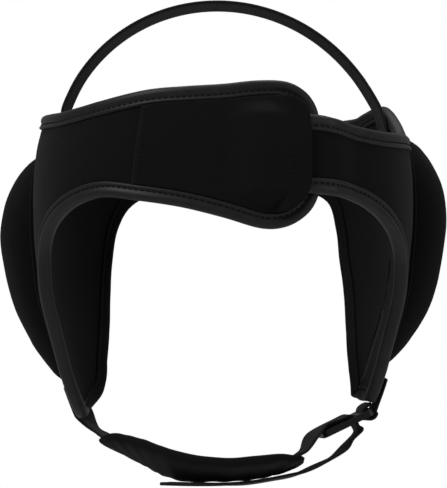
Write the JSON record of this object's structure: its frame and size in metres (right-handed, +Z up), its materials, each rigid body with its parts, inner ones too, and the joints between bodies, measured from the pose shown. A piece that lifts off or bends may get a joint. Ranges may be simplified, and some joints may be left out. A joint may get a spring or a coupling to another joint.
{
  "type": "wrestling ear guard",
  "caption": "Padded neoprene head guard with taped edges, a closed front band, a domed pad over each ear, a crown strap and a chin strap with a padded sleeve.",
  "frame": {"origin": "underside of the crown strap at its top, where it rests on the head", "axes": "+Z up, the wearer's face looks along -Y, +X towards the wearer's left ear"},
  "size_m": [0.2179, 0.2022, 0.2352],
  "materials": {
    "neoprene": "matte knit over neoprene",
    "face_fabric": "matte knit",
    "edge_tape": "smooth elastic tape",
    "cup_fabric": "matte knit over foam",
    "webbing": "ribbed woven webbing",
    "plastic": "satin"
  },
  "bodies": {
    "root": {"left_panel": "neoprene", "right_panel": "neoprene", "front_patch": "face_fabric", "left_binding": "edge_tape", "right_binding": "edge_tape", "right_rear_binding": "edge_tape", "right_tip_hem": "edge_tape", "left_ear_cup": "cup_fabric", "right_ear_cup": "cup_fabric", "crown_strap": "webbing", "chin_strap": "webbing", "chin_sleeve": "face_fabric", "adjuster_tab": "webbing", "strap_adjuster": "plastic"}
  },
  "joints": []
}
